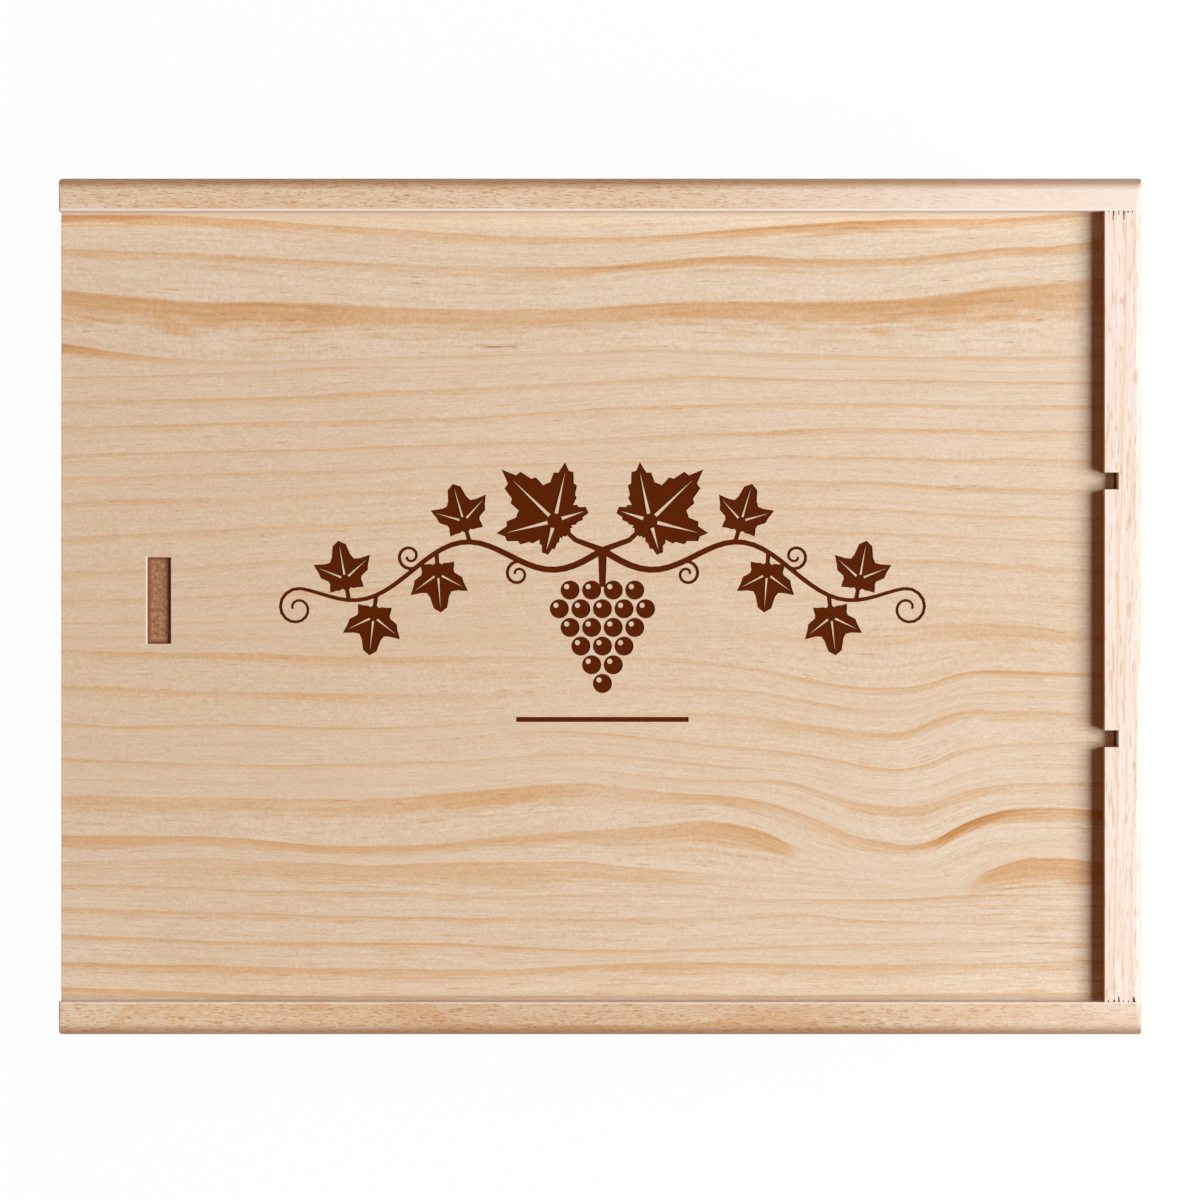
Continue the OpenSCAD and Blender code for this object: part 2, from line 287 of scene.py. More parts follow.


# ---- growth lines of the lid

# Each line: the upper edge of a band of dark late wood, as pixel across: pixel down; how dark it is, as pixel
# across: level; and how thick it is, as a share of its ring. The pixels are those of the photograph's
# 1200 x 1200 frame, picked where a line bends or changes, from the top of the lid to the bottom.
GROWTH_LINES = (
    ({60: 205, 1090: 203},
     {60: 0, 1090: 0}, 0.2),
    ({60: 213, 150: 214, 250: 219, 350: 226, 450: 232, 520: 236, 600: 237, 700: 232, 800: 224, 900: 219,
      1000: 217, 1050: 214, 1090: 210},
     {60: 1.6, 130: 1.4, 200: 0.85, 350: 0.65, 450: 0.4, 600: 0.6, 700: 1, 850: 1.3, 980: 1, 1090: 0.85},
      0.3),
    ({60: 248, 200: 252, 300: 258, 400: 263, 500: 266, 600: 265, 650: 261, 700: 257, 750: 255, 800: 258,
      850: 258, 900: 256, 950: 253, 1000: 248, 1050: 245, 1090: 241},
     {60: 0.6, 200: 0.5, 300: 0.55, 450: 0.35, 570: 0.85, 650: 1.2, 770: 1.1, 850: 0.8, 950: 1, 1090: 0.85},
      0.2),
    ({60: 288, 100: 293, 150: 297, 200: 300, 300: 302, 400: 306, 450: 308, 560: 309, 640: 303, 700: 301,
      800: 301, 850: 300, 900: 298, 950: 293, 1000: 286, 1050: 283, 1090: 279},
     {60: 1, 180: 1.1, 300: 1.15, 420: 0.7, 560: 0.7, 700: 1.05, 780: 0.9, 900: 1.2, 1000: 1, 1090: 0.7},
      0.6),
    ({60: 343, 90: 347, 120: 352, 160: 357, 260: 361, 400: 357, 500: 355, 600: 351, 650: 349, 700: 351,
      800: 353, 900: 356, 1090: 355},
     {60: 1.5, 100: 1.2, 130: 0.8, 170: 0.45, 240: 0.3, 400: 0.25, 600: 0.3, 800: 0.35, 1090: 0.35}, 0.45),
    ({60: 377, 150: 375, 250: 371, 320: 367, 420: 367, 520: 364, 600: 360, 660: 360, 720: 366, 850: 369,
      1090: 372},
     {60: 0.4, 200: 0.3, 300: 0.35, 400: 0.15, 1090: 0.2}, 0.12),
    ({60: 400, 150: 399, 250: 397, 350: 392, 450: 388, 550: 383, 650: 377, 700: 375, 800: 378, 950: 380,
      1090: 381},
     {60: 0.35, 220: 0.5, 400: 0.4, 600: 0.35, 800: 0.45, 1090: 0.4}, 0.2),
    ({60: 426, 200: 423, 300: 421, 400: 419, 500: 415, 600: 408, 700: 404, 850: 402, 950: 404, 1090: 405},
     {60: 0.4, 250: 0.5, 450: 0.45, 600: 0.4, 850: 0.4, 1090: 0.35}, 0.15),
    ({60: 455, 200: 450, 300: 449, 400: 445, 500: 441, 600: 438, 680: 433, 770: 431, 850: 427, 950: 429,
      1090: 430},
     {60: 0.4, 280: 0.5, 400: 0.35, 600: 0.3, 700: 0.45, 790: 0.7, 850: 0.4, 950: 0.5, 1090: 0.4}, 0.18),
    ({60: 477, 200: 474, 300: 471, 400: 467, 500: 464, 700: 459, 800: 455, 900: 457, 1090: 459},
     {60: 0.35, 250: 0.4, 400: 0.2, 700: 0.25, 900: 0.35, 1090: 0.35}, 0.15),
    ({60: 503, 100: 500, 200: 498, 300: 493, 400: 489, 600: 484, 800: 480, 850: 480, 950: 486, 1090: 489},
     {60: 0.4, 200: 0.25, 400: 0.15, 600: 0.15, 760: 0.4, 960: 0.45, 1090: 0.3}, 0.2),
    ({60: 536, 150: 532, 250: 527, 350: 523, 550: 512, 650: 508, 750: 506, 850: 508, 950: 513, 1090: 517},
     {60: 0.35, 250: 0.3, 400: 0.15, 600: 0.15, 850: 0.3, 980: 0.4, 1090: 0.3}, 0.15),
    ({60: 571, 150: 568, 250: 562, 350: 558, 450: 554, 560: 547, 650: 540, 750: 532, 820: 530, 900: 533,
      1000: 538, 1090: 541},
     {60: 0.35, 200: 0.3, 300: 0.2, 500: 0.25, 700: 0.15, 900: 0.3, 1090: 0.25}, 0.15),
    ({60: 600, 200: 595, 350: 588, 500: 580, 650: 570, 800: 560, 900: 558, 1000: 563, 1090: 569},
     {60: 0.3, 250: 0.25, 500: 0.15, 800: 0.15, 1000: 0.35, 1090: 0.35}, 0.2),
    ({60: 622, 250: 620, 400: 614, 600: 606, 800: 598, 950: 593, 1090: 597},
     {60: 0.25, 300: 0.2, 600: 0.1, 1090: 0.15}, 0.12),
    ({60: 636, 400: 634, 600: 631, 800: 628, 900: 625, 950: 622, 1000: 623, 1050: 628, 1090: 631},
     {60: 0.1, 800: 0.1, 900: 0.15, 950: 0.4, 1020: 0.45, 1090: 0.35}, 0.5),
    ({60: 648, 150: 652, 250: 652, 320: 655, 450: 656, 600: 656, 700: 660, 760: 668, 800: 677, 850: 686,
      880: 688, 910: 687, 930: 683, 950: 676, 970: 671, 1000: 670, 1090: 673},
     {60: 0.45, 300: 0.55, 400: 0.45, 550: 0.2, 750: 0.2, 850: 0.6, 910: 0.6, 980: 1.15, 1040: 1,
      1090: 0.75}, 0.25),
    ({60: 685, 150: 688, 300: 692, 400: 693, 600: 688, 700: 687, 760: 691, 800: 698, 850: 707, 890: 711,
      920: 707, 950: 697, 970: 692, 1000: 690, 1090: 693},
     {60: 0.4, 200: 0.35, 280: 0.5, 400: 0.25, 600: 0.15, 820: 0.35, 900: 0.2, 1090: 0.15}, 0.25),
    ({60: 722, 120: 726, 220: 723, 350: 727, 500: 722, 600: 716, 700: 713, 750: 716, 800: 722, 850: 729,
      880: 732, 900: 731, 920: 725, 950: 714, 970: 710, 1000: 710, 1090: 712},
     {60: 0.45, 200: 0.45, 350: 0.45, 450: 0.25, 700: 0.2, 860: 0.55, 960: 0.5, 1090: 0.35}, 0.25),
    ({60: 741, 300: 744, 450: 737, 560: 730, 650: 738, 700: 743, 800: 753, 870: 766, 900: 768, 930: 762,
      960: 750, 1000: 744, 1090: 742},
     {60: 0.05, 500: 0.1, 620: 0.35, 800: 0.4, 900: 0.55, 960: 0.4, 1090: 0.3}, 0.2),
    ({60: 758, 150: 762, 300: 764, 400: 762, 500: 758, 560: 753, 600: 754, 700: 763, 800: 773, 850: 784,
      900: 789, 930: 785, 960: 773, 1000: 765, 1090: 763},
     {60: 0.45, 200: 0.45, 400: 0.3, 600: 0.25, 720: 0.3, 800: 0.1, 1090: 0.1}, 0.25),
    ({60: 778, 300: 781, 450: 776, 560: 768, 620: 772, 700: 779, 780: 780, 820: 790, 850: 799, 900: 806,
      930: 803, 950: 796, 970: 790, 1000: 785, 1090: 782},
     {60: 0.1, 500: 0.05, 700: 0.3, 800: 0.4, 870: 0.55, 960: 0.6, 1020: 0.4, 1090: 0.45}, 0.35),
    ({60: 795, 200: 797, 300: 798, 400: 797, 450: 792, 500: 788, 583: 782, 620: 786, 680: 793, 720: 795,
      750: 799, 800: 812, 830: 824, 850: 834, 880: 841, 905: 845, 930: 841, 950: 831, 970: 821, 990: 813,
      1020: 808, 1050: 807, 1090: 810},
     {60: 0.55, 300: 0.4, 400: 0.55, 480: 0.85, 550: 0.75, 630: 0.35, 710: 0.75, 800: 0.5, 870: 0.65,
      930: 1.2, 970: 2.1, 1050: 1, 1090: 1.6}, 0.5),
    ({60: 835, 150: 836, 250: 839, 300: 843, 350: 846, 430: 844, 500: 837, 600: 829, 650: 826, 700: 820,
      730: 823, 760: 830, 803: 849, 850: 860, 900: 867, 930: 864, 960: 850, 1000: 838, 1090: 837},
     {60: 0.8, 180: 0.75, 300: 0.9, 420: 0.85, 500: 0.6, 600: 0.6, 700: 0.75, 770: 1, 790: 0.6, 808: 0,
      1090: 0.05}, 0.6),
    ({60: 862, 200: 858, 300: 862, 370: 865, 450: 862, 560: 861, 650: 868, 700: 872, 800: 878, 900: 885,
      960: 886, 985: 873, 1010: 863, 1035: 858, 1060: 858, 1090: 861},
     {60: 0.15, 200: 0.2, 370: 0.55, 500: 0.45, 650: 0.4, 750: 0.1, 960: 0.1, 1000: 1.05, 1050: 1,
      1090: 1.2}, 1.1),
    ({60: 884, 200: 886, 300: 891, 400: 891, 500: 895, 650: 894, 800: 899, 900: 898, 1000: 893, 1090: 893},
     {60: 0.35, 280: 0.45, 450: 0.3, 700: 0.2, 820: 0.45, 900: 0.5, 1000: 0.3, 1090: 0.2}, 0.25),
    ({60: 908, 200: 911, 350: 915, 500: 918, 600: 919, 700: 917, 800: 914, 850: 919, 1000: 922, 1090: 922},
     {60: 0.6, 300: 0.55, 500: 0.5, 700: 0.25, 800: 0.35, 930: 0.35, 1090: 0.25}, 0.15),
    ({60: 933, 200: 940, 300: 942, 450: 943, 560: 948, 650: 950, 750: 946, 900: 943, 1090: 944},
     {60: 0.6, 280: 0.65, 400: 0.85, 500: 0.6, 650: 0.5, 800: 0.35, 1090: 0.25}, 0.2),
    ({60: 961, 200: 965, 350: 968, 500: 969, 600: 964, 700: 962, 850: 964, 1090: 960},
     {60: 0.7, 250: 0.75, 420: 0.6, 620: 0.5, 800: 0.55, 950: 0.45, 1090: 0.25}, 0.35),
    ({60: 986, 150: 990, 250: 994, 400: 996, 600: 996, 1090: 992},
     {60: 0.9, 250: 0.7, 500: 0.5, 1090: 0.35}, 0.3),
    ({60: 1012, 1090: 1014},
     {60: 0, 1090: 0}, 0.2),
)


def share_across(pixel):
    """A pixel across as a share of the width that the growth lines are drawn in."""
    return (pixel - LINES_X[0]) / (LINES_X[1] - LINES_X[0])


def share_down(pixel):
    """A pixel down as a share of the height that the growth lines are drawn in."""
    return (pixel - LINES_Y[0]) / (LINES_Y[1] - LINES_Y[0])


def lid_rings(tree, point):
    """Where a point in mm lies between the lid's growth lines: its depth below each line, and the ring count.

    Between two lines, the depth below the upper one goes from 0 at that line to 1 at the lower one, and the
    count is the sum of all depths."""
    x, y, z = add(tree, "SeparateXYZ", [point]).outputs
    lines_wide = PIXEL_MM * (LINES_X[1] - LINES_X[0])
    lines_tall = PIXEL_MM * (LINES_Y[1] - LINES_Y[0])
    across = add(tree, "Math", [x, 1 / lines_wide, share_across(ORIGIN_PIXEL[0])], "MULTIPLY_ADD")
    # The rings lean through the thickness, so the edges and the underside carry on the pattern of the face.
    leaning = add(tree, "Math", [z, RING_LEAN, -RING_LEAN * LID_FACE_MM], "MULTIPLY_ADD")
    height = add(tree, "Math", [y, leaning])
    down = add(tree, "Math", [height, -1 / lines_tall, share_down(ORIGIN_PIXEL[1])], "MULTIPLY_ADD")
    edges, depths = [], []
    count = 0.0
    for places, _, _ in GROWTH_LINES:
        edge = add(tree, "FloatCurve", {"Value": across})
        draw_curve(edge, [(share_across(right), share_down(low)) for right, low in places.items()])
        edges.append(edge)
    for upper, lower in zip(edges, edges[1:]):
        below = add(tree, "Math", [down, upper], "SUBTRACT")
        width = add(tree, "Math", [lower, upper], "SUBTRACT")
        depth = add(tree, "Math", [below, width], "DIVIDE", use_clamp=True)
        depths.append(depth)
        count = add(tree, "Math", [depth, count])
    return across, depths, count


def lid_late_wood(tree, across, depths, ragged):
    """How dark the lid's late wood is. Each band rises sharply at its line, is darkest there, stays dark over
    half of its thickness and fades slowly below it. ragged, about 1, stretches and shrinks the bands."""
    dark = 0.0
    for (_, levels, thick), depth in zip(GROWTH_LINES, depths):
        torn = add(tree, "Math", [depth, ragged], "MULTIPLY")
        flat = 0.5 * thick
        gone = flat + 0.25 + 0.3 * thick
        fade = add(tree, "MapRange", [torn, flat, gone, FLAT_LEVEL, 0.0])
        slow = add(tree, "Math", [fade, FADE_POWER], "POWER")
        lip = add(tree, "Math", [depth, -LIP_SLOPE, LIP_LEVEL], "MULTIPLY_ADD", use_clamp=True)
        body = add(tree, "Math", [slow, lip])
        rise = add(tree, "Math", [depth, RISE_SLOPE], "MULTIPLY", use_clamp=True)
        band = add(tree, "Math", [body, rise], "MULTIPLY")
        strength = add(tree, "FloatCurve", {"Value": across})
        draw_curve(strength, [(share_across(right), level) for right, level in levels.items()])
        dark = add(tree, "Math", [band, strength, dark], "MULTIPLY_ADD")
    return dark


# ---- timber

def inside(tree, point, low, high, soft=0.1):
    """1 where a point in mm lies in the box from low to high and 0 elsewhere, with an edge that fades inwards
    over soft mm: the largest of the point's distances from the box's middle, less half the box's size."""
    middle = [(a + b) / 2 for a, b in zip(low, high)]
    half = [(b - a) / 2 for a, b in zip(low, high)]
    offset = add(tree, "VectorMath", [point, middle], "SUBTRACT")
    size = add(tree, "VectorMath", [offset], "ABSOLUTE")
    over = add(tree, "VectorMath", [size, half], "SUBTRACT")
    x, y, z = add(tree, "SeparateXYZ", [over]).outputs
    most = add(tree, "Math", [add(tree, "Math", [x, y], "MAXIMUM"), z], "MAXIMUM")
    return add(tree, "MapRange", [most, 0.0, -soft])


def speckle(tree, flow, size, detail, lift):
    """Noise whose grains are size mm along the grain, across it and through it, moved by lift."""
    stretched = add(tree, "VectorMath", [flow, [1 / s for s in size]], "MULTIPLY")
    moved = add(tree, "VectorMath", [stretched, (lift, lift, lift)])
    return add(tree, "TexNoise", {"Vector": moved, "Scale": 1.0, "Detail": detail, "Roughness": 0.6})


def lay(tree, ground, *layers):
    """Lays colours over a ground, the first layer lowest. Each is (how much of it, colour), and how it mixes
    where that isn't plainly."""
    for amount, colour, *mixes in layers:
        ground = add(tree, "Mix", {"Factor": amount, "A": ground, "B": colour}, data_type="RGBA",
                     blend_type=mixes[0] if mixes else "MIX", clamp_factor=True)
    return ground


def place_in_mm(tree):
    """A Texture Coordinate node, and the point on the piece in mm."""
    place = add(tree, "TexCoord")
    return place, add(tree, "VectorMath", {0: place.outputs["Object"], "Scale": 1 / MM}, "SCALE")


def end_grain(tree, facing):
    """How much a face darkens for cutting across the fibres: its normal's X, squared, times a share."""
    along = add(tree, "SeparateXYZ", [facing]).outputs[0]
    square = add(tree, "Math", [along, along], "MULTIPLY")
    return add(tree, "Math", [square, END_GRAIN_SHARE], "MULTIPLY")


def sanded_pine(tree, flow, band, ripe, look):
    """The colour and height of sanded pine. flow runs along the fibres, across the rings and through the
    board, in mm; band is the late wood, 0 to 1; ripe is how deep the ground's tone is, 0 to 1; look holds
    the board's colours and how strong each part is."""
    streaks = speckle(tree, flow, (50, 1.3, 1.3), 4.0, 3.1)
    hairs = speckle(tree, flow, (30, 0.55, 0.55), 3.0, 6.4)
    fibres = speckle(tree, flow, (5, 0.34, 0.34), 3.0, 7.7)
    clouds = speckle(tree, flow, (80, 26, 26), 2.0, 1.3)
    dashes = speckle(tree, flow, look["dash_mm"], 1.0, 5.9)
    grit = speckle(tree, flow, (1.0, 0.6, 0.6), 2.0, 2.6)
    # Late wood is never even: streaks and hairs break it up.
    late = band
    for noise, least, most in ((streaks, 0.6, 1.25), (hairs, 0.7, 1.3)):
        broken = add(tree, "MapRange", [noise, 0.3, 0.7, least, most])
        late = add(tree, "Math", [late, broken], "MULTIPLY")
    # The ground shows through thin late wood, and ever less through thick: 1 - e^(-golden * late).
    shown = add(tree, "Math", [math.exp(-look["golden"]), late], "POWER")
    golden = add(tree, "Math", [1.0, shown], "SUBTRACT", use_clamp=True)
    cloudy = add(tree, "MapRange", [clouds, 0.35, 0.65])
    toned = add(tree, "Math", [cloudy, 0.2, ripe], "MULTIPLY_ADD", use_clamp=True)
    deep = add(tree, "MapRange", [late, 0.65, 1.4, 0.0, 0.9])
    layers = [(toned, look["early_dull"]), (golden, look["late"]), (deep, look["late_deep"])]
    # Over these lie more layers. Each starts and is full at a level of its noise, and has a strength.
    dash_from = look["dash_from"]
    marks = None
    for noise, faint, full, most, colour, *mixes in (
            (streaks, 0.45, 0.72, look["streaks"], "streak"),
            (hairs, 0.5, 0.75, look["hairs"], "streak"),
            (fibres, 0.4, 0.75, look["fibres"], "fibre"),
            (fibres, 0.45, 0.2, look["fibres"], "pale"),
            (dashes, dash_from, dash_from + 0.07, look["dashes"], "dash"),
            (grit, 0.35, 0.65, 0.3, "grit", "MULTIPLY")):
        amount = add(tree, "MapRange", [noise, faint, full, 0.0, most])
        layers.append((amount, look[colour], *mixes))
        if noise == dashes:
            marks = amount
    # The dashes are sunk a little below the fibres.
    height = add(tree, "Math", [marks, -0.4, fibres], "MULTIPLY_ADD")
    return lay(tree, look["early"], *layers), height


def finish_wood(tree, colour, height, roughness, sheen):
    """Sends a colour and a fibre height to a dull, bare wood surface with a sheen, from 0 to 1."""
    bump = add(tree, "Bump", {"Height": height, "Strength": 0.35, "Distance": 0.12 * MM})
    surface = add(tree, "BsdfPrincipled", {"Base Color": colour, "Roughness": roughness, "IOR": 1.5,
                                           "Specular IOR Level": sheen, "Normal": bump})
    add(tree, "OutputMaterial", {"Surface": surface})


def board_pine(name, look, turn, pith, ring_mm, slope=0.0, marks_and_painted_light=()):
    """Pine cut from a log: rings are circles round the pith, ring_mm apart, in a board whose fibres run along
    X after it is turned. pith is the log's middle in mm, seen along the fibres. End grain shows darker.
    marks_and_painted_light are (low corner, high corner, soft edge's width, strength, colour), in mm, and how
    they mix; some are the wood's own marks, some painted shade and highlights."""
    material = new_material(name)
    tree = material.node_tree
    place, point = place_in_mm(tree)
    lying = add(tree, "Mapping", {"Vector": point, "Rotation": turn})
    # The log isn't straight: its rings wander by up to half of this to each side.
    wander_mm = 9.0
    bend = add(tree, "VectorMath", [lying, (1 / 90, 1 / 50, 1 / 50)], "MULTIPLY")
    wander = add(tree, "TexNoise", {"Vector": bend, "Scale": 1.0, "Detail": 3.0})
    offset = [0.0, pith[0] - wander_mm / 2, pith[1] - wander_mm / 2]
    pushed = add(tree, "VectorMath", [wander.outputs["Color"], (0.0, wander_mm, wander_mm), offset],
                 "MULTIPLY_ADD")
    bent = add(tree, "VectorMath", [lying, pushed])
    x, y, z = add(tree, "SeparateXYZ", [bent]).outputs
    sloping = add(tree, "Math", [x, slope, y], "MULTIPLY_ADD")
    section = add(tree, "CombineXYZ", [0.0, sloping, z])
    radius = add(tree, "VectorMath", [section], "LENGTH")
    ring = add(tree, "Math", [radius.outputs["Value"], ring_mm], "DIVIDE")
    # Each year's late wood has a strength of its own, and comes at the end of its ring.
    year = add(tree, "Math", [ring], "FLOOR")
    luck = add(tree, "TexWhiteNoise", {"W": year}, noise_dimensions="1D")
    strength = add(tree, "MapRange", [luck.outputs["Value"], 0.0, 1.0, look["late_least"], look["late_most"]])
    phase = add(tree, "Math", [ring], "FRACT")
    season = add(tree, "ValToRGB", {"Fac": phase})
    set_stops(season, ((0.0, 0.0), (0.5, 0.05), (0.8, 0.4), (0.95, 1.0), (1.0, 0.0)))
    band = add(tree, "Math", [season, strength], "MULTIPLY")
    flow = add(tree, "CombineXYZ", [x, sloping, z])
    colour, height = sanded_pine(tree, flow, band, BOARD_TONE, look)
    facing = add(tree, "Mapping", {"Vector": place.outputs["Normal"], "Rotation": turn}, vector_type="NORMAL")
    layers = [(end_grain(tree, facing), look["end_grain"], "MULTIPLY")]
    for low, high, soft, share, mark_colour, *mixes in marks_and_painted_light:
        amount = add(tree, "Math", [inside(tree, point, low, high, soft), share], "MULTIPLY")
        layers.append((amount, mark_colour, *mixes))
    finish_wood(tree, lay(tree, colour, *layers), height, 0.62, 0.3)
    return material


# Sanded pine of the side boards: beige, with the short brown dashes of its resin ducts.
SIDE_LOOK = {
    "early": "#F5E9D5", "early_dull": "#F1E0C4", "late": "#E5B983", "late_deep": "#D39E60", "golden": 1.4,
    "streak": "#E2B884", "streaks": 0.4, "hairs": 0.4, "fibre": "#DCA45C", "fibres": 0.44,
    "pale": "#F8F2E6", "dash": "#C47824", "dashes": 0.62, "dash_mm": (2.8, 0.38, 0.38), "dash_from": 0.58,
    "late_least": 0.1, "late_most": 0.6, "end_grain": "#D2B898", "grit": "#D6C5AD",
}
# Sanded pine of the end boards: the palest of the box, with a few warm streaks.
END_LOOK = {
    "early": "#FFFBF8", "early_dull": "#FFF7F0", "late": "#EECDA2", "late_deep": "#DDB27C", "golden": 1.5,
    "streak": "#F0D2A8", "streaks": 0.55, "hairs": 0.2, "fibre": "#E8C898", "fibres": 0.3,
    "pale": "#FFFFFF", "dash": "#CDA068", "dashes": 0.42, "dash_mm": (8.0, 0.8, 0.8), "dash_from": 0.59,
    "late_least": 0.1, "late_most": 1.0, "end_grain": "#DCC4A8", "grit": "#FBF8F5",
}
# Planed pine of the panel and dividers: a step yellower, with plain even rings.
PANEL_LOOK = {
    "early": "#F6E6CA", "early_dull": "#EFDAB8", "late": "#DDB07A", "late_deep": "#C48A4E", "golden": 1.5,
    "streak": "#D9AE7A", "streaks": 0.3, "hairs": 0.3, "fibre": "#D0A26C", "fibres": 0.3,
    "pale": "#FCEFD8", "dash": "#B47A40", "dashes": 0.4, "dash_mm": (3.0, 0.4, 0.4), "dash_from": 0.65,
    "late_least": 0.3, "late_most": 0.9, "end_grain": "#C79E70", "grit": "#D8C4A8",
}
# Sanded pine of the lid: cream with golden bands, the warmest of the box.
LID_LOOK = {
    "early": "#F4EAD7", "early_dull": "#EAD7BE", "late": "#DAA665", "late_deep": "#C07A35", "golden": 2.1,
    "streak": "#E0BF90", "streaks": 0.42, "hairs": 0.42, "fibre": "#D9B282", "fibres": 0.28,
    "pale": "#F7F0E2", "dash": "#C38241", "dashes": 0.6, "dash_mm": (9.0, 0.4, 0.4), "dash_from": 0.69,
    "grit": "#D6C5AD", "end_grain": "#C9A27A", "burnt": "#562000", "burnt_light": "#622808",
    # Of the slot's colours, the floor's is partly painted shade, the rim's is painted shade and the palest is
    # a painted highlight; the palest colour on the next line is painted light along the long edges.
    "slot": "#C0926C", "slot_dark": "#8A5E3E", "slot_corner_shade": "#80481C", "slot_highlight": "#FFF6E8",
    "painted_joint_light": "#FFF8EE", "resin": "#B06A2A",
}
# Painted shade in the saw chips' slits, which also darkens the joint beside them, and the brads' steel in its
# dull and its bright grains.
CHIP_SHADE_AND_JOINT = "#74401A"
STEEL = "#9C9B97"
STEEL_BRIGHT = "#C9C8C3"

# Far beyond any board, and just past a board's own face, in mm, for boxes that are open to that side.
FAR = 500
PAST = 5

# The middle width of a ring on the lid, and places on the lid, in mm.
RING_MM = 8.5
ENGRAVED = ((-125.0, -45.0, 93.9), (125.0, 60.0, 94.72))
THUMB_SLOT = ((-147.3, -12.3, 92.0), (-139.3, 16.1, 94.4))
SLOT_FLOOR = ((-146.7, -11.7, 92.0), (-139.9, 15.5, 94.4))
# A painted highlight along the slot's front edge, where its wall faces the key light.
SLOT_HIGHLIGHT_STRIP = ((-147.6, -12.3, 94.45), (-147.0, 16.1, 96.0))
# The lid's ground is palest at its rear end. It gets deeper towards the front, towards the middle line and
# along the right edge: where that starts and where it is full, or its box and soft edge, in mm.
DEEPER_AHEAD = (150.0, -97.0)
DEEPER_MIDDLE = 130.0
DEEPER_CORNER = ((-165.0, -500.0, -500.0), (125.0, -88.0, 500.0), 34.0)
# How much deeper the ground gets ahead and in the middle, and what the corner adds.
DEEPER_MOST = 0.48
CORNER_SHARE = 0.35
# How far from the lid's middle line the paler wood of its long edges starts, where it is full, and how much
# of it there is. It is painted light that lifts the shade of the joints with the side boards.
PAINTED_JOINT_LIGHT_MM = (126.7, 127.5)
PAINTED_JOINT_LIGHT_SHARE = 0.35
# The resin streaks that stand alone on the lid, as (middle, half its length and width), in mm.
RESIN_STREAKS = (
    ((-33.0, 84.4), (16.0, 1.3)),
    ((61.5, 56.4), (5.5, 1.3)),
    ((119.5, 38.8), (11.0, 1.2)),
)


